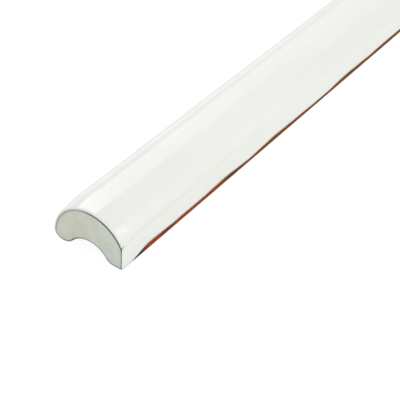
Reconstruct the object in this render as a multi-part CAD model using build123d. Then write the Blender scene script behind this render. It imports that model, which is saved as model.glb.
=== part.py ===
import os
from math import cos, pi, sin, sqrt

from build123d import *

# Torello trim tile: a half-round border tile pressed from red clay and glazed, fired in one piece.
# +X runs along the tile, the straight side faces -Y, and the two feet stand on Z = 0.

# Whole tile, mm
length = 200.0
width = 20.0
height = 12.2

# Dome, one arc from the shoulder of the straight side over to the foot of the round side
dome_radius = 10.9
shoulder_radius = 1.0

# Feet, and the hollow pressed along the back between them
straight_foot_radius = 0.2
round_foot_radius = 2.1
hollow_y = -0.8
hollow_depth = 3.4
hollow_radius = 5.9
straight_foot_blend = 2.5
round_foot_blend = 3.2

# Ends: the glazed faces first fall away like the edge of a cushion, then round over into the end face
cushion_length = 8.0
dome_cushion = 0.6
side_cushion = 0.1
arris_length = 0.6
dome_arris = 0.6
side_arris = 0.2
cushion_steps = 4

# Bare clay along the base of the straight side, set back by the thickness of the glaze
strip_height = 1.35
strip_depth = 0.15
strip_end_gap = 4.0
strip_taper = 3.5

# The dome's centre lies where the dome and the rounded foot together come out at the full width
dome_z = height - dome_radius
foot_y = width / 2 - round_foot_radius
dome_y = foot_y - sqrt((dome_radius - round_foot_radius) ** 2 - (round_foot_radius - dome_z) ** 2)


def round_corner(face, y, z, radius):
    # Rounds the corner of a section that lies nearest to (y, z)
    corner = min(face.vertices(), key=lambda v: (v.Y - y) ** 2 + (v.Z - z) ** 2)
    return face.fillet_2d(radius, [corner])


def tile_section(x, dome_sink, side_sink):
    # The tile's section at x, with the dome and the straight side that far inside the full section
    radius = dome_radius - dome_sink
    side_y = -width / 2 + side_sink
    shoulder_z = dome_z + sqrt(radius**2 - (side_y - dome_y) ** 2)
    round_y = dome_y + sqrt(radius**2 - dome_z**2)
    mouth = sqrt(hollow_radius**2 - (hollow_radius - hollow_depth) ** 2)

    with BuildSketch(Plane.YZ.offset(x)) as section:
        with BuildLine():
            Line((side_y, 0), (side_y, shoulder_z))
            RadiusArc((side_y, shoulder_z), (round_y, 0), radius)
            Line((round_y, 0), (hollow_y + mouth, 0))
            RadiusArc((hollow_y + mouth, 0), (hollow_y - mouth, 0), -hollow_radius)
            Line((hollow_y - mouth, 0), (side_y, 0))
        make_face()

    face = section.sketch.face()
    face = round_corner(face, side_y, 0, straight_foot_radius)
    face = round_corner(face, side_y, shoulder_z, shoulder_radius)
    face = round_corner(face, round_y, 0, round_foot_radius)
    face = round_corner(face, hollow_y - mouth, 0, straight_foot_blend)
    return round_corner(face, hollow_y + mouth, 0, round_foot_blend)


def end_section(direction, from_end, cushion, arris):
    # The section near an end, with that share of the cushion's fall and of the arris's
    dome_sink = dome_cushion * cushion + dome_arris * arris
    side_sink = side_cushion * cushion + side_arris * arris
    return tile_section(direction * (length / 2 - from_end), dome_sink, side_sink)


def cushioned_end(direction):
    # The last stretch of the tile: a shallow parabola, then a quarter round into the end face
    cushion_run = cushion_length - arris_length
    shares = [step / cushion_steps for step in range(cushion_steps + 1)]
    cushion = loft([end_section(direction, cushion_length - s * cushion_run, s**2, 0) for s in shares])
    turns = (0, pi / 4, pi / 2)
    arris = loft([end_section(direction, arris_length * (1 - sin(t)), 1, 1 - cos(t)) for t in turns])
    return [cushion, arris]


def clay_strip():
    # What the glaze leaves out at the base of the straight side, running out to nothing at each end
    reach = length / 2 - strip_end_gap
    top = reach - strip_taper
    outline = Polyline((-reach, 0), (-top, strip_height), (top, strip_height), (reach, 0), close=True)
    face = make_face(Plane.XZ * outline)
    return extrude(Pos(0, -width / 2 + strip_depth, 0) * face, amount=2 * strip_depth, dir=(0, -1, 0))


def torello_tile():
    even_length = length - 2 * cushion_length
    body = extrude(tile_section(-even_length / 2, 0, 0), amount=even_length, dir=(1, 0, 0))
    body += cushioned_end(-1) + cushioned_end(1)
    return body - clay_strip()


os.makedirs("parts", exist_ok=True)
tile = torello_tile()
tile.label = "torello_tile"
export_step(tile, "parts/torello_tile.step")
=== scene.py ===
from math import atan2, cos, pi, radians, sin, sqrt

import bmesh
import bpy
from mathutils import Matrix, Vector


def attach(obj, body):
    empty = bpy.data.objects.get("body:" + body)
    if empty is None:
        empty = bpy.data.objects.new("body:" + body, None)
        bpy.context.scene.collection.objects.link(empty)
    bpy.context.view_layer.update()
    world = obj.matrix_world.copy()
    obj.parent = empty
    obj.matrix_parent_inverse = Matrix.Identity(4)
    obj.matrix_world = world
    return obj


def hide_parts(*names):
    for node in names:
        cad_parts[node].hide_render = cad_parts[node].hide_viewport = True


# Torello trim tile, pressed red clay under a white gloss glaze. Sizes are in mm where nothing else is said.

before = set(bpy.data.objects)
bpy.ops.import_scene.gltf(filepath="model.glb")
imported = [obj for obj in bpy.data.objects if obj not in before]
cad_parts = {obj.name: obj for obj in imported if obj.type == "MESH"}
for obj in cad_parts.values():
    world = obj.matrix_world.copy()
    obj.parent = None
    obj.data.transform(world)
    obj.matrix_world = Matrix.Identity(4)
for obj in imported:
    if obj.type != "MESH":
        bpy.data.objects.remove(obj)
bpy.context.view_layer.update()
mm = 0.001

# Kinds of node that several trees use. A colour mix takes its share at input 0 and its two colours at 6
# and 7, and gives the result at output 2.
math = "ShaderNodeMath"
vector = "ShaderNodeVectorMath"
noise = "ShaderNodeTexNoise"
ramp = "ShaderNodeMapRange"
mix = "ShaderNodeMix"


def linearColor(hexColor):
    # sRGB hex to the linear colour that shaders take
    parts = [int(hexColor[i:i + 2], 16) / 255 for i in (1, 3, 5)]
    return tuple(p / 12.92 if p <= 0.04045 else ((p + 0.055) / 1.055) ** 2.4 for p in parts) + (1.0,)


def addNode(tree, kind, inputs=None, **settings):
    # one node with its settings, laid out in rows of 24; an input takes a value, a socket, or another node's
    # first output
    node = tree.nodes.new(kind)
    node.location = (190 * (len(tree.nodes) % 24), -260 * (len(tree.nodes) // 24))
    for name, value in settings.items():
        setattr(node, name, value)
    given = inputs if isinstance(inputs, dict) else dict(enumerate(inputs or ()))
    for name, value in given.items():
        if isinstance(value, bpy.types.Node):
            value = value.outputs[0]
        if isinstance(value, bpy.types.NodeSocket):
            tree.links.new(value, node.inputs[name])
        else:
            node.inputs[name].default_value = value
    return node


def ramped(value, start, end):
    # 0 before start, 1 past end
    return min(max((value - start) / (end - start), 0), 1)


# Camera

cameraPlace = {
    "eye": (-260.298, -131.349, 180.459),
    "target": (-75.837, -13.236, 6.0),
    "roll": 3.704,              # degrees
    "lens": 112.2,
    "sensor": 36.0,
}


def makeCamera(place):
    data = bpy.data.cameras.new("photoCamera")
    data.lens = place["lens"]
    data.sensor_width = place["sensor"]
    camera = bpy.data.objects.new("photoCamera", data)
    bpy.context.scene.collection.objects.link(camera)
    eye = Vector(place["eye"]) * mm
    turn = (Vector(place["target"]) * mm - eye).to_track_quat("-Z", "Y").to_euler()
    turn.rotate_axis("Z", radians(place["roll"]))
    camera.location = eye
    camera.rotation_euler = turn
    bpy.context.scene.camera = camera
    print("camera set")


makeCamera(cameraPlace)


# Glaze and clay

glazeLook = {
    "white": "#ECEDE9",         # where it lies as it was poured
    "pooled": "#E9EBE5",        # a little greener where it ran thicker
    "poolSize": 14.0,           # across one cloud of thicker glaze
    "poolRange": (0.35, 0.65),  # of the clouds' noise, from white to pooled
    "lip": "#C8A888",           # its last bit above bare clay
    "paintedShade": "#20261F",          # painted shade, dark along the arris and the other edges
    "peelSize": 2.2,            # between the dimples of its orange peel
    "peelDepth": 0.004,
    "roughness": 0.07,
    "ior": 1.5,
}

endLook = {
    "cool": "#D6E0D6",          # toward the straight side
    "warm": "#D6D9CB",
    "warmFrom": (-9.0, -1.0),   # across the tile, from cool to warm
    "blotch": "#CDD2C3",
    "blotchSize": 2.2,
    "blotchRange": (0.4, 0.7),
    # painted shade, dark along the rim of the end face
    "paintedShade": "#20261F",
    "grainSize": 0.5,
    "grainDepth": 0.01,
    "roughness": 0.5,
    "ior": 1.5,
}

clayLook = {
    "fired": "#92380A",
    "browned": "#784204",       # the hotter stretch toward the middle
    "brownedFrom": (-92, -36),  # along the tile, from fired to browned
    "dark": "#54260C",
    "cloudSize": 6.0,
    "cloudRange": (0.45, 0.7),
    "pale": "#9C5224",
    "gritSize": 0.45,           # real grit is about half as coarse, drawn larger so that it shows
    "gritRange": (0.6, 0.75),
    "gritDepth": 0.05,
    "gritStrength": 0.8,
    # painted shade, near black, where the strip starts under the glaze
    "startShade": "#180B08",
    "roughness": 0.88,
    "ior": 1.45,
}


def glossWhiteGlaze(look):
    # Tin-white gloss glaze, poured on and fired: sharp glints over a milky, faintly green white, softened by
    # its orange peel, with painted shade as a dark line along the arris and the other edges
    material = bpy.data.materials.new("glossWhiteGlaze")
    material.use_nodes = True
    tree = material.node_tree
    tree.nodes.clear()
    place = addNode(tree, "ShaderNodeTexCoord").outputs["Object"]
    pools = addNode(tree, noise, {"Vector": place, "Scale": 1 / (look["poolSize"] * mm), "Detail": 2.0})
    poolLow, poolHigh = look["poolRange"]
    poolShare = addNode(tree, ramp, {"Value": pools, "From Min": poolLow, "From Max": poolHigh})
    body = addNode(tree, mix, {0: poolShare, 6: linearColor(look["white"]), 7: linearColor(look["pooled"])},
                   data_type="RGBA").outputs[2]
    lipShare = addNode(tree, "ShaderNodeAttribute", attribute_name="glazeLip").outputs["Fac"]
    withLip = addNode(tree, mix, {0: lipShare, 6: body, 7: linearColor(look["lip"])},
                      data_type="RGBA").outputs[2]
    # painted shade: dark lines along the arris, the shoulder and the foot
    edgeShadeShare = addNode(tree, "ShaderNodeAttribute", attribute_name="paintedEdgeShade").outputs["Fac"]
    withEdgeShade = addNode(tree, mix, {0: edgeShadeShare, 6: withLip, 7: linearColor(look["paintedShade"])},
                       data_type="RGBA").outputs[2]
    peel = addNode(tree, noise, {"Vector": place, "Scale": 1 / (look["peelSize"] * mm), "Detail": 1.0})
    bump = addNode(tree, "ShaderNodeBump", {"Height": peel, "Distance": look["peelDepth"] * mm})
    shader = addNode(tree, "ShaderNodeBsdfPrincipled", {
        "Base Color": withEdgeShade, "Roughness": look["roughness"], "IOR": look["ior"], "Normal": bump})
    addNode(tree, "ShaderNodeOutputMaterial", {"Surface": shader})
    return material


def wipedEndGlaze(look):
    # The same glaze wiped thin over the cut end: nearly matt, grey-green with faint clouds of the body
    # under it
    material = bpy.data.materials.new("wipedEndGlaze")
    material.use_nodes = True
    tree = material.node_tree
    tree.nodes.clear()
    place = addNode(tree, "ShaderNodeTexCoord").outputs["Object"]
    across = addNode(tree, "ShaderNodeSeparateXYZ", {0: place}).outputs["Y"]
    coolAt, warmAt = look["warmFrom"]
    warmShare = addNode(tree, ramp, {"Value": across, "From Min": coolAt * mm, "From Max": warmAt * mm})
    tone = addNode(tree, mix, {0: warmShare, 6: linearColor(look["cool"]), 7: linearColor(look["warm"])},
                   data_type="RGBA").outputs[2]
    clouds = addNode(tree, noise, {"Vector": place, "Scale": 1 / (look["blotchSize"] * mm), "Detail": 3.0})
    blotchLow, blotchHigh = look["blotchRange"]
    blotchShare = addNode(tree, ramp, {"Value": clouds, "From Min": blotchLow, "From Max": blotchHigh})
    body = addNode(tree, mix, {0: blotchShare, 6: tone, 7: linearColor(look["blotch"])},
                   data_type="RGBA").outputs[2]
    # painted shade: a dark line along the rim of the end face
    edgeShadeShare = addNode(tree, "ShaderNodeAttribute", attribute_name="paintedEdgeShade").outputs["Fac"]
    withEdgeShade = addNode(tree, mix, {0: edgeShadeShare, 6: body, 7: linearColor(look["paintedShade"])},
                       data_type="RGBA").outputs[2]
    grain = addNode(tree, noise, {"Vector": place, "Scale": 1 / (look["grainSize"] * mm), "Detail": 3.0})
    bump = addNode(tree, "ShaderNodeBump", {"Height": grain, "Distance": look["grainDepth"] * mm})
    shader = addNode(tree, "ShaderNodeBsdfPrincipled", {
        "Base Color": withEdgeShade, "Roughness": look["roughness"], "IOR": look["ior"], "Normal": bump})
    addNode(tree, "ShaderNodeOutputMaterial", {"Surface": shader})
    return material


def pressedRedClay(look):
    # Red earthenware as it left the press and the kiln: dry and matt, clouded from orange to brown, with
    # fine grit, and painted shade, near black, where the strip starts in the shadow of the glaze above it
    material = bpy.data.materials.new("pressedRedClay")
    material.use_nodes = True
    tree = material.node_tree
    tree.nodes.clear()
    place = addNode(tree, "ShaderNodeTexCoord").outputs["Object"]
    along = addNode(tree, "ShaderNodeSeparateXYZ", {0: place}).outputs["X"]
    firedAt, brownedAt = look["brownedFrom"]
    brownShare = addNode(tree, ramp, {"Value": along, "From Min": firedAt * mm, "From Max": brownedAt * mm})
    fired, browned = linearColor(look["fired"]), linearColor(look["browned"])
    base = addNode(tree, mix, {0: brownShare, 6: fired, 7: browned}, data_type="RGBA").outputs[2]
    clouds = addNode(tree, noise, {"Vector": place, "Scale": 1 / (look["cloudSize"] * mm), "Detail": 4.0})
    cloudLow, cloudHigh = look["cloudRange"]
    darkShare = addNode(tree, ramp, {"Value": clouds, "From Min": cloudLow, "From Max": cloudHigh})
    body = addNode(tree, mix, {0: darkShare, 6: base, 7: linearColor(look["dark"])},
                   data_type="RGBA").outputs[2]
    grit = addNode(tree, noise, {"Vector": place, "Scale": 1 / (look["gritSize"] * mm), "Detail": 3.0})
    gritLow, gritHigh = look["gritRange"]
    speckShare = addNode(tree, ramp, {"Value": grit, "From Min": gritLow, "From Max": gritHigh})
    speckled = addNode(tree, mix, {0: speckShare, 6: body, 7: linearColor(look["pale"])},
                       data_type="RGBA").outputs[2]
    # painted shade where the strip starts
    startShadeShare = addNode(tree, "ShaderNodeAttribute", attribute_name="clayStartShade").outputs["Fac"]
    startShaded = addNode(tree, mix, {0: startShadeShare, 6: speckled, 7: linearColor(look["startShade"])},
                     data_type="RGBA").outputs[2]
    bump = addNode(tree, "ShaderNodeBump", {
        "Height": grit, "Distance": look["gritDepth"] * mm, "Strength": look["gritStrength"]})
    shader = addNode(tree, "ShaderNodeBsdfPrincipled", {
        "Base Color": startShaded, "Roughness": look["roughness"], "IOR": look["ior"], "Normal": bump})
    addNode(tree, "ShaderNodeOutputMaterial", {"Surface": shader})
    return material


finishes = {
    "Glaze": glossWhiteGlaze(glazeLook),
    "End Glaze": wipedEndGlaze(endLook),
    "Bare Clay": pressedRedClay(clayLook),
}
print("three finishes made")


# Tile

tileLook = {
    "size": {
        "length": 200.0,
        "width": 20.0,
        "height": 12.2,
        "domeRadius": 10.9,
        "shoulderRadius": 1.0,
        "straightFootRadius": 0.03,
        "roundFootRadius": 2.1,
        "hollowY": -0.8,
        "hollowDepth": 3.4,
        "hollowRadius": 5.9,
        "straightFootBlend": 2.5,
        "roundFootBlend": 3.2,
        "cushionLength": 8.0,       # over which the glazed faces fall away toward an end
        "domeCushion": 0.6,
        "sideCushion": 0.1,
        "arrisLength": 0.6,         # the rounding into the end face
        "domeArris": 0.6,
        "sideArris": 0.2,
        "backArris": 0.04,
        "roundArris": 0.3,          # the round side falls that much further
        "roundArrisFrom": (0.5, 0.9),   # over these shares of the dome's turn that sets in
        "rimInset": 0.3,            # how far the thin glaze reaches into the end face
        "backRim": 0.5,             # the same along the back
        "backRimFrom": 0.7,         # share of the round foot's turn, where that starts
    },
    "line": {
        "height": 1.5,              # bare clay up to here at the base of the straight side
        "depth": 0.04,              # thickness of the glaze that stops there
        "endGap": 3.6,
        "taper": 5.0,
        "taperPower": 0.8,          # under 1 the strip rises faster at first
        "startHeight": 0.02,        # of the strip before its taper, above the foot's corner
        "depthRate": 2.5,           # the glaze has its full thickness at 1/2.5 of the taper's rise
        "waveHeight": 0.8,
        "waveLength": 24.0,
        "unevenness": 0.06,
        "unevenLength": 26.0,
        "unevenRate": 2.5,          # it changes that much faster across the tile than along it
        "seed": 11.0,
        "seedStep": 17.3,           # wavelengths from one seed's waves to the next one's
        "startShadeReach": (7.0, 9.0),    # from the end, from painted shade on the clay to none
        "startShadeShare": 0.95,
    },
    # weights of painted shade along the edges: the arris, the rims of the end face, the shoulder and the
    # foot, dark in full at a weight of 1
    "paintedShade": {
        "shoulder": 1.6,
        "domeStart": 1.6,
        "domeEnd": 0.55,
        "domeFade": (0.25, 0.55),   # shares of the dome's turn, from the one to the other
        "roundFoot": 0.5,
        "glazeWall": 1.1,
        "hollowStart": 1.8,
        "hollowFall": 3.0,          # over the hollow's whole turn, but only down to the next weight
        "hollowEnd": 0.8,
        "elsewhere": 1.2,
        "arrisFrom": (0.5, 0.8),    # shares of the arris, over which the line darkens
        "rimRate": 1.2,             # it has ended at 1/1.2 of the rim
        "tickReach": (0.35, 0.65),  # from the end, a dash of painted shade over the shoulder
        "lineNear": 0.07,           # faint painted shade along the shoulder, next to an end
        "lineFar": 0.035,           # and further in
        "lineReach": (20.0, 45.0),  # from the end, from the one to the other
        "lineFrom": 0.88,           # share of the straight side's height where it starts
        "foot": 0.3,                # painted shadow under the straight side, before the strip starts
    },
    "steps": {
        "footCorner": 5,
        "clayWall": 5,
        "lip": 5,
        "glazeWall": 14,
        "shoulder": 8,
        "dome": 84,
        "roundFoot": 18,
        "footFlat": 4,
        "blend": 10,
        "hollow": 30,
        "rimRows": 3,
        "arrisRows": 8,
        "cushionRows": 18,
        "bodyRows": 74,
        "crispAngle": 40,           # degrees
        "weld": 0.001,
    },
}

# What each point of the section knows: where it is and which way is inward, how far the cushion, the arris
# and the rim of the end face move it, its share in the strip's rise and depth, the parts it belongs to, and
# how much painted shade its edges get there
sectionVectors = ("place", "inward", "cushionShift", "arrisShift", "rimShift")
sectionNumbers = ("lift", "inset", "strip", "back", "lipColumn", "edgeShadeWeight", "tick", "shoulderShade",
                  "footShade")


def sectionOutline(size, line, steps, domeSink, sideSink):
    # Points of the section with that much taken off the dome and the straight side, clockwise from the
    # straight foot: y, z, the way into the body, and the part of the outline they belong to
    foot = size["roundFootRadius"]
    radius = size["domeRadius"] - domeSink
    side = -size["width"] / 2 + sideSink
    domeZ = size["height"] - size["domeRadius"]
    domeY = size["width"] / 2 - foot - sqrt((size["domeRadius"] - foot) ** 2 - (foot - domeZ) ** 2)
    points = []

    def addArc(part, y, z, r, start, end, hollow=False):
        count = steps[part]
        way = 1 if hollow else -1
        for i in range(count):
            angle = start + (end - start) * i / count
            points.append((y + r * cos(angle), z + r * sin(angle), way * cos(angle), way * sin(angle), part))

    def addFlat(part, start, end, inward):
        count = steps[part]
        for i in range(count):
            y = start[0] + (end[0] - start[0]) * i / count
            z = start[1] + (end[1] - start[1]) * i / count
            points.append((y, z, *inward, part))

    corner = size["straightFootRadius"]
    addArc("footCorner", side + corner, corner, corner, 1.5 * pi, pi)
    addFlat("clayWall", (side, corner), (side, line["height"]), (1, 0))
    for i in range(steps["lip"]):
        turn = pi / 2 * i / steps["lip"]
        points.append((side, line["height"] + line["depth"] * (1 - cos(turn)), 1, 0, "lip"))

    shoulder = size["shoulderRadius"]
    shoulderY = side + shoulder
    shoulderZ = domeZ + sqrt((radius - shoulder) ** 2 - (shoulderY - domeY) ** 2)
    shoulderAngle = atan2(shoulderZ - domeZ, shoulderY - domeY)
    addFlat("glazeWall", (side, line["height"] + line["depth"]), (side, shoulderZ), (1, 0))
    addArc("shoulder", shoulderY, shoulderZ, shoulder, pi, shoulderAngle)

    footY = domeY + sqrt((radius - foot) ** 2 - (foot - domeZ) ** 2)
    footAngle = atan2(foot - domeZ, footY - domeY)
    addArc("dome", domeY, domeZ, radius, shoulderAngle, footAngle)
    addArc("roundFoot", footY, foot, foot, footAngle, -pi / 2)

    hollowZ = size["hollowDepth"] - size["hollowRadius"]
    blends = []
    for way, blend in ((1, size["roundFootBlend"]), (-1, size["straightFootBlend"])):
        y = size["hollowY"] + way * sqrt((size["hollowRadius"] + blend) ** 2 - (blend - hollowZ) ** 2)
        blends.append((y, blend, atan2(blend - hollowZ, y - size["hollowY"])))
    (nearY, nearR, nearAngle), (farY, farR, farAngle) = blends
    addFlat("footFlat", (footY, 0), (nearY, 0), (0, 1))
    addArc("blend", nearY, nearR, nearR, -pi / 2, nearAngle - pi)
    addArc("hollow", size["hollowY"], hollowZ, size["hollowRadius"], nearAngle, farAngle, hollow=True)
    addArc("blend", farY, farR, farR, farAngle - pi, -pi / 2)
    addFlat("footFlat", (farY, 0), (side + corner, 0), (0, 1))
    return points


def sectionProfile(size, line, paintedShade, steps):
    # The section as a closed loop of edges, with what each of its points knows
    full = sectionOutline(size, line, steps, 0, 0)
    cushioned = sectionOutline(size, line, steps, size["domeCushion"], size["sideCushion"])
    ended = sectionOutline(size, line, steps, size["domeCushion"] + size["domeArris"],
                           size["sideCushion"] + size["sideArris"])
    count = len(full)
    mesh = bpy.data.meshes.new("tileSection")
    edges = [(i, (i + 1) % count) for i in range(count)]
    mesh.from_pydata([(0, y * mm, z * mm) for y, z, *_ in full], edges, [])
    known = {name: [] for name in sectionVectors + sectionNumbers}
    firstOfPart = {}
    for i, point in enumerate(full):
        firstOfPart.setdefault(point[4], i)

    endSide = ended[steps["footCorner"]][0]
    rimFoot = size["backArris"] + size["backRim"]
    # the strip has run out by the tile's end, so there its upper edge has moved by this, downward
    endRise = size["straightFootRadius"] + line["startHeight"] - line["height"]
    for i, (y, z, inY, inZ, part) in enumerate(full):
        share = (i - firstOfPart[part]) / steps[part]
        isBack = part in ("footFlat", "blend", "hollow") or i == 0
        lift = {"clayWall": share, "lip": 1, "glazeWall": 1 - share}.get(part, 0)
        rise = lift * endRise

        # where the point is at the end of the arris, and then at the inner edge of the rim
        backArris = size["backArris"] if isBack else 0
        roundShare = {"dome": ramped(share, *size["roundArrisFrom"]), "roundFoot": 1 - share}.get(part, 0)
        endY = ended[i][0] + inY * backArris - size["roundArris"] * roundShare
        endZ = max(ended[i][1] + inZ * backArris + rise, size["backArris"]) - rise
        onBackRim = isBack or part == "roundFoot" and share > size["backRimFrom"]
        rim = size["backRim"] if onBackRim else size["rimInset"]
        rimY, rimZ = endY + inY * rim, endZ + inZ * rim
        if part in ("footCorner", "clayWall", "lip", "glazeWall"):  # a sharp corner of the rim at the foot
            rimY = endSide + size["rimInset"]
            rimZ = max(endZ + rise, rimFoot) - rise

        domeShare = ramped(share, *paintedShade["domeFade"])
        edgeShadeWeights = {
            "dome": paintedShade["domeStart"] + (paintedShade["domeEnd"] - paintedShade["domeStart"]) * domeShare,
            "shoulder": paintedShade["shoulder"],
            "roundFoot": paintedShade["roundFoot"],
            "glazeWall": paintedShade["glazeWall"],
            "hollow": max(paintedShade["hollowStart"] - paintedShade["hollowFall"] * share, paintedShade["hollowEnd"]),
        }
        lineShares = {"shoulder": cos(pi / 2 * share), "glazeWall": ramped(share, paintedShade["lineFrom"], 1)}
        values = {
            "place": (0, y * mm, z * mm),
            "inward": (0, inY, inZ),
            "cushionShift": (0, (cushioned[i][0] - y) * mm, (cushioned[i][1] - z) * mm),
            "arrisShift": (0, (endY - cushioned[i][0]) * mm, (endZ - cushioned[i][1]) * mm),
            "rimShift": (0, (rimY - endY) * mm, (rimZ - endZ) * mm),
            "lift": lift,
            "inset": {"footCorner": 1, "clayWall": 1, "lip": 1 - sin(share * pi / 2)}.get(part, 0),
            "strip": part in ("footCorner", "clayWall"),
            "back": isBack,
            "lipColumn": 1 - share if part == "lip" else 0,
            "edgeShadeWeight": edgeShadeWeights.get(part, paintedShade["elsewhere"]),
            "tick": sin(pi * share) ** 2 if part == "shoulder" else 0,
            "shoulderShade": lineShares.get(part, 0),
            "footShade": part in ("footCorner", "clayWall", "lip") or part == "glazeWall" and share == 0,
        }
        for name, value in values.items():
            known[name].append(value)

    for name in sectionVectors:
        attribute = mesh.attributes.new(name, "FLOAT_VECTOR", "POINT")
        attribute.data.foreach_set("vector", [c for value in known[name] for c in value])
    for name in sectionNumbers:
        attribute = mesh.attributes.new(name, "FLOAT", "POINT")
        attribute.data.foreach_set("value", [float(value) for value in known[name]])
    profile = bpy.data.objects.new("tileSection", mesh)
    bpy.context.scene.collection.objects.link(profile)
    print("section outline:", count, "points")
    return profile


def tileTree(line, paintedShade, steps):
    # Sweeps the section along the tile. Each row of points knows how far it is from an end, and from that
    # come the cushion, the arris, the rim of the end face, the wavy edge of the glaze and the finish of each
    # face.
    tree = bpy.data.node_groups.new("sweptTrimTile", "GeometryNodeTree")
    tree.interface.new_socket("Section", in_out="INPUT", socket_type="NodeSocketGeometry")
    for name in ("Length", "Cushion Length", "Arris Length", "Strip Height", "Strip Depth",
                 "Strip End Gap", "Strip Taper", "Corner Radius", "Wave Height", "Wave Length", "Unevenness",
                 "Uneven Length", "Seed"):
        tree.interface.new_socket(name, in_out="INPUT", socket_type="NodeSocketFloat")
    for name in ("Rim Rows", "Arris Rows", "Cushion Rows", "Body Rows"):
        tree.interface.new_socket(name, in_out="INPUT", socket_type="NodeSocketInt")
    for name in ("Glaze", "End Glaze", "Bare Clay"):
        tree.interface.new_socket(name, in_out="INPUT", socket_type="NodeSocketMaterial")
    tree.interface.new_socket("Tile", in_out="OUTPUT", socket_type="NodeSocketGeometry")
    given = addNode(tree, "NodeGroupInput").outputs

    # rows of the rail, counted from whichever end is nearer
    endRows = addNode(tree, math, (given["Rim Rows"], given["Arris Rows"]), operation="ADD")
    cushionEnd = addNode(tree, math, (endRows, given["Cushion Rows"]), operation="ADD")
    middleRow = addNode(tree, math, (cushionEnd, given["Body Rows"]), operation="ADD")
    lastRow = addNode(tree, math, (middleRow, 2), operation="MULTIPLY")
    rowCount = addNode(tree, math, (lastRow, 1), operation="ADD")
    railLine = addNode(tree, "GeometryNodeMeshLine", {"Count": rowCount, "Offset": (mm, 0, 0)})
    rail = addNode(tree, "GeometryNodeMeshToCurve", (railLine,))
    row = addNode(tree, "GeometryNodeInputIndex")
    toLast = addNode(tree, math, (lastRow, row), operation="SUBTRACT")
    fromEnd = addNode(tree, math, (row, toLast), operation="MINIMUM")
    rimStep = addNode(tree, math, (fromEnd, given["Rim Rows"]), operation="DIVIDE", use_clamp=True)
    pastRim = addNode(tree, math, (fromEnd, given["Rim Rows"]), operation="SUBTRACT")
    arrisStep = addNode(tree, math, (pastRim, given["Arris Rows"]), operation="DIVIDE", use_clamp=True)
    pastArris = addNode(tree, math, (fromEnd, endRows), operation="SUBTRACT")
    cushionStep = addNode(tree, math, (pastArris, given["Cushion Rows"]), operation="DIVIDE", use_clamp=True)
    pastCushion = addNode(tree, math, (fromEnd, cushionEnd), operation="SUBTRACT")
    bodyStep = addNode(tree, math, (pastCushion, given["Body Rows"]), operation="DIVIDE", use_clamp=True)

    # distance from the end: a quarter turn over the arris, then even steps over the cushion and the body
    arrisTurn = addNode(tree, math, (arrisStep, pi / 2), operation="MULTIPLY")
    arrisSine = addNode(tree, math, (arrisTurn,), operation="SINE")
    arrisCosine = addNode(tree, math, (arrisTurn,), operation="COSINE")
    arrisRise = addNode(tree, math, (1, arrisCosine), operation="SUBTRACT")
    arrisRun = addNode(tree, math, (given["Arris Length"], arrisRise), operation="MULTIPLY")
    cushionOnly = addNode(tree, math, (given["Cushion Length"], given["Arris Length"]), operation="SUBTRACT")
    pastCushionRun = addNode(tree, math, (cushionOnly, cushionStep, arrisRun), operation="MULTIPLY_ADD")
    halfLength = addNode(tree, math, (given["Length"], 0.5), operation="MULTIPLY")
    bodyOnly = addNode(tree, math, (halfLength, given["Cushion Length"]), operation="SUBTRACT")
    endDistance = addNode(tree, math, (bodyOnly, bodyStep, pastCushionRun), operation="MULTIPLY_ADD")
    fromMiddle = addNode(tree, math, (row, middleRow), operation="SUBTRACT")
    whichEnd = addNode(tree, math, (fromMiddle,), operation="SIGN")
    middleDistance = addNode(tree, math, (halfLength, endDistance), operation="SUBTRACT")
    cushionLeft = addNode(tree, math, (1, cushionStep), operation="SUBTRACT")
    railValues = {
        "along": addNode(tree, math, (whichEnd, middleDistance), operation="MULTIPLY"),
        "endDistance": endDistance,
        "rimShare": addNode(tree, math, (1, rimStep), operation="SUBTRACT"),
        "arrisShare": addNode(tree, math, (1, arrisSine), operation="SUBTRACT"),
        "cushionShare": addNode(tree, math, (cushionLeft, 2), operation="POWER"),   # a parabola
    }
    for name, value in railValues.items():
        rail = addNode(tree, "GeometryNodeStoreNamedAttribute",
                       {"Geometry": rail, "Name": name, "Value": value}, data_type="FLOAT", domain="POINT")

    section = addNode(tree, "GeometryNodeMeshToCurve", (given["Section"],))
    tube = addNode(tree, "GeometryNodeCurveToMesh",
                   {"Curve": rail, "Profile Curve": section, "Fill Caps": True})
    swept = addNode(tree, "GeometryNodeFlipFaces", (tube,))
    read = {}
    for names, kind in ((sectionVectors, "FLOAT_VECTOR"), ((*sectionNumbers, *railValues), "FLOAT")):
        for name in names:
            read[name] = addNode(tree, "GeometryNodeInputNamedAttribute", {"Name": name}, data_type=kind)

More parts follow.
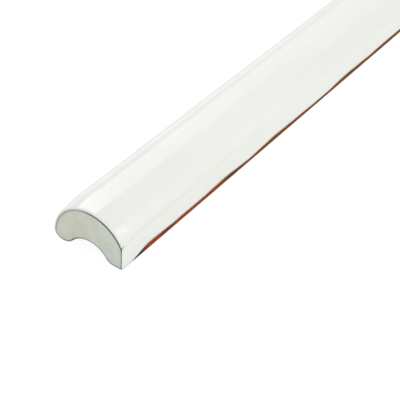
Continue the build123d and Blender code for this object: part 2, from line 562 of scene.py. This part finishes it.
    # the wavy edge of the glaze above the bare strip
    reached = addNode(tree, math, (read["endDistance"], given["Strip End Gap"]), operation="SUBTRACT")
    stripRun = addNode(tree, math, (reached, given["Strip Taper"]), operation="DIVIDE", use_clamp=True)
    stripShare = addNode(tree, math, (stripRun, line["taperPower"]), operation="POWER")
    waveAt = addNode(tree, math, (read["along"], given["Wave Length"]), operation="DIVIDE")
    waveSeed = addNode(tree, math, (given["Seed"], line["seedStep"], waveAt), operation="MULTIPLY_ADD")
    wave = addNode(tree, noise, {"W": waveSeed, "Scale": 1.0, "Detail": 2.0}, noise_dimensions="1D")
    waveSigned = addNode(tree, ramp, {"Value": wave, "To Min": -1.0, "To Max": 1.0})
    waveTop = addNode(tree, math, (waveSigned, given["Wave Height"], given["Strip Height"]),
                      operation="MULTIPLY_ADD")
    overCorner = addNode(tree, math, (waveTop, given["Corner Radius"]), operation="SUBTRACT")
    stripStart = addNode(tree, math, (given["Corner Radius"], line["startHeight"] * mm), operation="ADD")
    stripTop = addNode(tree, math, (overCorner, stripShare, stripStart), operation="MULTIPLY_ADD")
    stripRise = addNode(tree, math, (stripTop, given["Strip Height"]), operation="SUBTRACT")
    liftZ = addNode(tree, math, (read["lift"], stripRise), operation="MULTIPLY")
    depthShare = addNode(tree, math, (stripShare, line["depthRate"]), operation="MULTIPLY", use_clamp=True)
    depth = addNode(tree, math, (given["Strip Depth"], depthShare), operation="MULTIPLY")
    insetY = addNode(tree, math, (read["inset"], depth), operation="MULTIPLY")
    stripShift = addNode(tree, "ShaderNodeCombineXYZ", {"X": read["along"], "Y": insetY, "Z": liftZ})

    # slow unevenness of the poured glaze, always into the body
    unevenRates = (0, line["unevenRate"], line["unevenRate"])
    spot = addNode(tree, vector, (read["place"], unevenRates), operation="MULTIPLY")
    spotAlong = addNode(tree, "ShaderNodeCombineXYZ", {"X": read["along"]})
    where = addNode(tree, vector, (spot, spotAlong), operation="ADD")
    unevenScale = addNode(tree, math, (1, given["Uneven Length"]), operation="DIVIDE")
    uneven = addNode(tree, noise, {"Vector": where, "W": given["Seed"], "Scale": unevenScale, "Detail": 1.0},
                     noise_dimensions="4D")
    glazed = addNode(tree, math, (1, read["back"]), operation="SUBTRACT")
    fullDent = addNode(tree, math, (uneven, given["Unevenness"]), operation="MULTIPLY")
    offArris = addNode(tree, math, (1, read["arrisShare"]), operation="SUBTRACT")
    glazedDent = addNode(tree, math, (fullDent, glazed), operation="MULTIPLY")
    dent = addNode(tree, math, (glazedDent, offArris), operation="MULTIPLY")

    moved = addNode(tree, vector, (read["place"], stripShift), operation="ADD")
    moves = (
        (read["cushionShift"], read["cushionShare"]),
        (read["arrisShift"], read["arrisShare"]),
        (read["rimShift"], read["rimShare"]),
        (read["inward"], dent),
    )
    for way, amount in moves:
        step = addNode(tree, vector, {0: way, "Scale": amount}, operation="SCALE")
        moved = addNode(tree, vector, (moved, step), operation="ADD")
    placed = addNode(tree, "GeometryNodeSetPosition", {"Geometry": swept, "Position": moved})
    weld = steps["weld"] * mm
    shaped = addNode(tree, "GeometryNodeMergeByDistance", {"Geometry": placed, "Distance": weld})

    # what the finishes read: dark lines of painted shade along the edges, the glaze's lip, and painted shade
    # where the strip starts
    thinFrom, thinFull = paintedShade["arrisFrom"]
    onArris = addNode(tree, ramp, {"Value": read["arrisShare"], "From Min": thinFrom, "From Max": thinFull})
    intoRim = addNode(tree, math, (read["rimShare"], paintedShade["rimRate"]), operation="MULTIPLY", use_clamp=True)
    onRim = addNode(tree, math, (1, intoRim), operation="SUBTRACT")
    edgeShadeHere = addNode(tree, math, (onArris, onRim), operation="MULTIPLY")
    weighed = addNode(tree, math, (edgeShadeHere, read["edgeShadeWeight"]), operation="MULTIPLY", use_clamp=True)
    tickFull, tickEnd = paintedShade["tickReach"]
    tickShare = addNode(tree, ramp, {"Value": read["endDistance"], "From Min": tickFull * mm,
                                     "From Max": tickEnd * mm, "To Min": 1.0, "To Max": 0.0})
    tickRow = addNode(tree, math, (tickShare, onRim), operation="MULTIPLY")
    tickHere = addNode(tree, math, (read["tick"], tickRow), operation="MULTIPLY")
    lineFull, lineEnd = paintedShade["lineReach"]
    lineShare = addNode(tree, ramp, {"Value": read["endDistance"], "From Min": lineFull * mm,
                                     "From Max": lineEnd * mm, "To Min": paintedShade["lineNear"],
                                     "To Max": paintedShade["lineFar"]})
    lineRow = addNode(tree, math, (read["shoulderShade"], onRim), operation="MULTIPLY")
    withLine = addNode(tree, math, (lineRow, lineShare, weighed), operation="MULTIPLY_ADD")
    offStrip = addNode(tree, math, (1, depthShare), operation="SUBTRACT")
    footRow = addNode(tree, math, (read["footShade"], onRim), operation="MULTIPLY")
    footHere = addNode(tree, math, (footRow, offStrip), operation="MULTIPLY")
    withFoot = addNode(tree, math, (footHere, paintedShade["foot"], withLine), operation="MULTIPLY_ADD")
    startShadeFull, startShadeEnd = line["startShadeReach"]
    startShadeShare = addNode(tree, ramp, {"Value": read["endDistance"], "From Min": startShadeFull * mm,
                                     "From Max": startShadeEnd * mm, "To Min": line["startShadeShare"], "To Max": 0.0})
    marks = {
        "paintedEdgeShade": addNode(tree, math, (withFoot, tickHere), operation="MAXIMUM"),
        "glazeLip": addNode(tree, math, (read["lipColumn"], depthShare), operation="MULTIPLY"),
        "clayStartShade": addNode(tree, math, (read["strip"], startShadeShare), operation="MULTIPLY"),
    }
    for name, value in marks.items():
        shaped = addNode(tree, "GeometryNodeStoreNamedAttribute",
                         {"Geometry": shaped, "Name": name, "Value": value},
                         data_type="FLOAT", domain="POINT")

    # smooth faces, crisp edges, and a finish for each face
    angle = addNode(tree, "GeometryNodeInputMeshEdgeAngle")
    isCrisp = addNode(tree, math, (angle, radians(steps["crispAngle"])), operation="GREATER_THAN")
    slack = 0.01                # in the shares that tell the end face and its flat cap
    isCap = addNode(tree, math, (read["rimShare"], 1 - slack), operation="GREATER_THAN")
    smooth = addNode(tree, "GeometryNodeSetShadeSmooth", {"Geometry": shaped, "Shade Smooth": True})
    flatCap = addNode(tree, "GeometryNodeSetShadeSmooth",
                      {"Geometry": smooth, "Selection": isCap, "Shade Smooth": False}, domain="FACE")
    crisp = addNode(tree, "GeometryNodeSetShadeSmooth",
                    {"Geometry": flatCap, "Selection": isCrisp, "Shade Smooth": False}, domain="EDGE")
    onStrip = addNode(tree, math, (read["strip"], 0.5), operation="GREATER_THAN")
    pastGap = addNode(tree, math, (read["endDistance"], given["Strip End Gap"]), operation="GREATER_THAN")
    onBack = addNode(tree, math, (read["back"], 0.5), operation="GREATER_THAN")
    pastEdge = addNode(tree, math, (read["endDistance"], given["Arris Length"]), operation="GREATER_THAN")
    bareBack = addNode(tree, math, (onBack, pastEdge), operation="MULTIPLY")
    isBare = addNode(tree, math, (onStrip, pastGap, bareBack), operation="MULTIPLY_ADD")
    isEnd = addNode(tree, math, (read["rimShare"], slack), operation="GREATER_THAN")
    finished = addNode(tree, "GeometryNodeRealizeInstances", (crisp,))
    for material, selection in (("Glaze", True), ("End Glaze", isEnd), ("Bare Clay", isBare)):
        finished = addNode(tree, "GeometryNodeSetMaterial",
                           {"Geometry": finished, "Selection": selection, "Material": given[material]})
    addNode(tree, "NodeGroupOutput", (finished,))
    return tree


def makeTile(size, line, paintedShade, steps):
    profile = sectionProfile(size, line, paintedShade, steps)
    tree = tileTree(line, paintedShade, steps)
    values = {
        "Length": size["length"] * mm,
        "Cushion Length": size["cushionLength"] * mm,
        "Arris Length": size["arrisLength"] * mm,
        "Strip Height": line["height"] * mm,
        "Strip Depth": line["depth"] * mm,
        "Strip End Gap": line["endGap"] * mm,
        "Strip Taper": line["taper"] * mm,
        "Corner Radius": size["straightFootRadius"] * mm,
        "Wave Height": line["waveHeight"] * mm,
        "Wave Length": line["waveLength"] * mm,
        "Unevenness": line["unevenness"] * mm,
        "Uneven Length": line["unevenLength"] * mm,
        "Seed": line["seed"],
        "Rim Rows": steps["rimRows"],
        "Arris Rows": steps["arrisRows"],
        "Cushion Rows": steps["cushionRows"],
        "Body Rows": steps["bodyRows"],
        **finishes,
    }
    modifier = profile.modifiers.new("sweptTrimTile", "NODES")
    modifier.node_group = tree
    for item in tree.interface.items_tree:
        if item.name in values:
            modifier[item.identifier] = values[item.name]
    seen = profile.evaluated_get(bpy.context.evaluated_depsgraph_get())
    mesh = bpy.data.meshes.new_from_object(seen)
    mesh.name = "torelloTile"
    bpy.data.objects.remove(profile)
    tile = bpy.data.objects.new("torelloTile", mesh)
    bpy.context.scene.collection.objects.link(tile)
    kept = ("position", "material_index", "sharp_edge", "sharp_face", "paintedEdgeShade", "glazeLip", "clayStartShade")
    for name in [a.name for a in mesh.attributes if a.name not in kept and not a.name.startswith(".")]:
        mesh.attributes.remove(mesh.attributes[name])
    check = bmesh.new()
    check.from_mesh(mesh)
    openEdges = sum(1 for e in check.edges if len(e.link_faces) != 2)
    triangles = sum(len(f.verts) - 2 for f in check.faces)
    volume = check.calc_volume(signed=True) / mm ** 3
    check.free()
    print("tile:", len(mesh.vertices), "points,", triangles, "triangles,", openEdges, "open edges,",
          round(volume, 1), "mm3, finishes", [m.name for m in mesh.materials])
    return tile


tile = makeTile(**tileLook)
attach(tile, "root")
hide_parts("torello_tile")


# Floor, sky and lamps

studio = {
    "floorSize": 3.0,           # metres
    "floorColor": "#EEEEEC",
    "floorWhite": 0.85,         # share of plain white in the floor, the rest of it keeps the shadow
    "floorStrength": 1.1,       # of that white as the camera sees it
    # the same as the glaze mirrors it
    "backGlint": 0.97,          # behind the tile
    "farGlint": 0.8,            # and there, further along it
    "frontGlint": 1.17,         # before the straight side
    "frontTo": (-9, 9),         # across the tile, from the front's strength to the back's
    "poolGlint": 1.34,          # in a pool of light behind the tile
    "poolFrom": (30, 60),       # behind the tile's middle, from none of the pool to all
    "alongFade": (-79, 33),     # along the tile, from the near strengths to the far ones
    "alongSlant": 1.05,         # the edge of that fade goes 1.05 along the tile for each 1 behind it
    "skyStrength": 0.755,
    "skyGlint": 1.0,            # as the glaze mirrors it
    # brighter and darker bands of the mirrored sky: the two long boxes, the horizon and a crossing shade,
    # each with its turn over the tile from +Y in degrees, what it adds, and how far the mirrored way points
    # along +X where the band starts, is full and has faded out, which at 9 it never does
    "bands": {
        "farBox": {"turn": (20, 72), "adds": 3.0, "run": (0.2, 0.35, 0.79)},
        "nearBox": {"turn": (129, 159), "adds": 0.95, "run": (0.2, 0.35, 0.87)},
        "horizon": {"turn": (5, 17), "adds": -0.38, "run": (0.68, 0.79, 9.0)},
        "crossing": {"turn": (112, 162), "adds": -0.4, "run": (0.725, 0.77, 0.84)},
    },
    "bandEdge": 3,              # degrees to either side over which a band's edge softens
    # size is the width along the tile and the height, power is in W and spread in degrees; the sky's bands
    # are mirrored in place of the boxes, and the window only lights
    "lamps": {
        "keyWindow": {"place": (-170, -410, 190), "target": (-80, 0, 0), "size": (350, 350),
                      "power": 0.445, "spread": 180, "mirrored": False},
        "farBox": {"place": (420, 416, 431), "target": (420, 0, 0), "size": (900, 584),
                   "power": 1.03, "spread": 104, "mirrored": False},
        "nearBox": {"place": (420, -485, 353), "target": (420, 0, 0), "size": (900, 314),
                    "power": 0.22, "spread": 120, "mirrored": False},
        "cornerCard": {"place": (145, -440, 345), "target": (-97, -8, 8), "size": (45, 130),
                       "power": 0.035, "spread": 180, "mirrored": True},
    },
}


def makeFloor(look):
    half = look["floorSize"] / 2
    corners = [(-half, -half, 0), (half, -half, 0), (half, half, 0), (-half, half, 0)]
    mesh = bpy.data.meshes.new("studioFloor")
    mesh.from_pydata(corners, [], [(0, 1, 2, 3)])
    floor = bpy.data.objects.new("studioFloor", mesh)
    bpy.context.scene.collection.objects.link(floor)
    material = bpy.data.materials.new("palePaper")
    material.use_nodes = True
    tree = material.node_tree
    tree.nodes.clear()
    rays = addNode(tree, "ShaderNodeLightPath").outputs
    seen = addNode(tree, math, (rays["Is Camera Ray"], rays["Is Glossy Ray"]), operation="MAXIMUM")
    whiteShare = addNode(tree, math, (seen, look["floorWhite"]), operation="MULTIPLY")
    paper = addNode(tree, "ShaderNodeBsdfDiffuse", {"Color": linearColor(look["floorColor"])})

    # strength of the white as the glaze mirrors it
    place = addNode(tree, "ShaderNodeTexCoord").outputs["Object"]
    across = addNode(tree, "ShaderNodeSeparateXYZ", {0: place}).outputs["Y"]
    slantWay = (1, -look["alongSlant"], 0)
    slanted = addNode(tree, vector, (place, slantWay), operation="DOT_PRODUCT").outputs["Value"]
    fadeStart, fadeEnd = look["alongFade"]
    near = addNode(tree, ramp, {"Value": slanted, "From Min": fadeStart * mm, "From Max": fadeEnd * mm,
                                "To Min": 1.0, "To Max": 0.0})
    back = addNode(tree, ramp, {"Value": near, "To Min": look["farGlint"], "To Max": look["backGlint"]})
    frontEnd, backStart = look["frontTo"]
    base = addNode(tree, ramp, {"Value": across, "From Min": frontEnd * mm, "From Max": backStart * mm,
                                "To Min": look["frontGlint"], "To Max": back})
    poolStart, poolFull = look["poolFrom"]
    behind = addNode(tree, ramp, {"Value": across, "From Min": poolStart * mm, "From Max": poolFull * mm})
    pool = addNode(tree, math, (behind, near), operation="MULTIPLY")
    glint = addNode(tree, ramp, {"Value": pool, "To Min": base, "To Max": look["poolGlint"]})

    strength = addNode(tree, ramp, {"Value": rays["Is Camera Ray"], "To Min": glint,
                                    "To Max": look["floorStrength"]})
    white = addNode(tree, "ShaderNodeEmission", {"Color": (1, 1, 1, 1), "Strength": strength})
    lit = addNode(tree, "ShaderNodeMixShader", (whiteShare, paper, white))
    below = addNode(tree, "ShaderNodeNewGeometry").outputs["Backfacing"]
    clear = addNode(tree, "ShaderNodeBsdfTransparent")          # so that the back shows from below
    oneSided = addNode(tree, "ShaderNodeMixShader", (below, lit, clear))
    addNode(tree, "ShaderNodeOutputMaterial", {"Surface": oneSided})
    mesh.materials.append(material)


def makeSky(look):
    world = bpy.data.worlds.new("studioSky")
    bpy.context.scene.world = world
    world.use_nodes = True
    tree = world.node_tree
    tree.nodes.clear()
    rays = addNode(tree, "ShaderNodeLightPath").outputs
    seen = addNode(tree, math, (rays["Is Camera Ray"], rays["Is Glossy Ray"]), operation="MAXIMUM")
    plain = addNode(tree, "ShaderNodeBackground", {"Color": (1, 1, 1, 1), "Strength": look["skyStrength"]})
    way = addNode(tree, "ShaderNodeTexCoord").outputs["Generated"]
    wayX, wayY, wayZ = addNode(tree, "ShaderNodeSeparateXYZ", {0: way}).outputs
    turn = addNode(tree, math, (wayZ, wayY), operation="ARCTAN2")
    edge = look["bandEdge"]
    glint = look["skyGlint"]
    for band in look["bands"].values():
        start, end = band["turn"]
        runStart, runFull, runEnd = band["run"]
        fades = (
            (turn, radians(start - edge), radians(start + edge), 0.0, 1.0),
            (turn, radians(end - edge), radians(end + edge), 1.0, 0.0),
            (wayX, runStart, runFull, 0.0, 1.0),
            (wayX, runFull, runEnd, band["adds"], 0.0),
        )
        share = 1.0
        for value, fromMin, fromMax, toMin, toMax in fades:
            fade = addNode(tree, ramp, {"Value": value, "From Min": fromMin, "From Max": fromMax,
                                        "To Min": toMin, "To Max": toMax})
            share = addNode(tree, math, (fade, share), operation="MULTIPLY")
        glint = addNode(tree, math, (share, glint), operation="ADD")
    white = addNode(tree, "ShaderNodeBackground", {"Color": (1, 1, 1, 1), "Strength": glint})
    both = addNode(tree, "ShaderNodeMixShader", (seen, plain, white))
    addNode(tree, "ShaderNodeOutputWorld", {"Surface": both})


def makeLamps(lamps):
    for name, look in lamps.items():
        width, height = look["size"]
        data = bpy.data.lights.new(name, "AREA")
        data.shape = "RECTANGLE"
        data.size = width * mm
        data.size_y = height * mm
        data.energy = look["power"]
        data.spread = radians(look["spread"])
        lamp = bpy.data.objects.new(name, data)
        lamp.visible_glossy = look["mirrored"]
        bpy.context.scene.collection.objects.link(lamp)
        place = Vector(look["place"])
        lamp.location = place * mm
        lamp.rotation_euler = (Vector(look["target"]) - place).to_track_quat("-Z", "Y").to_euler()


makeFloor(studio)
makeSky(studio)
makeLamps(studio["lamps"])
bpy.context.scene.view_settings.view_transform = "Standard"
print("studio set")
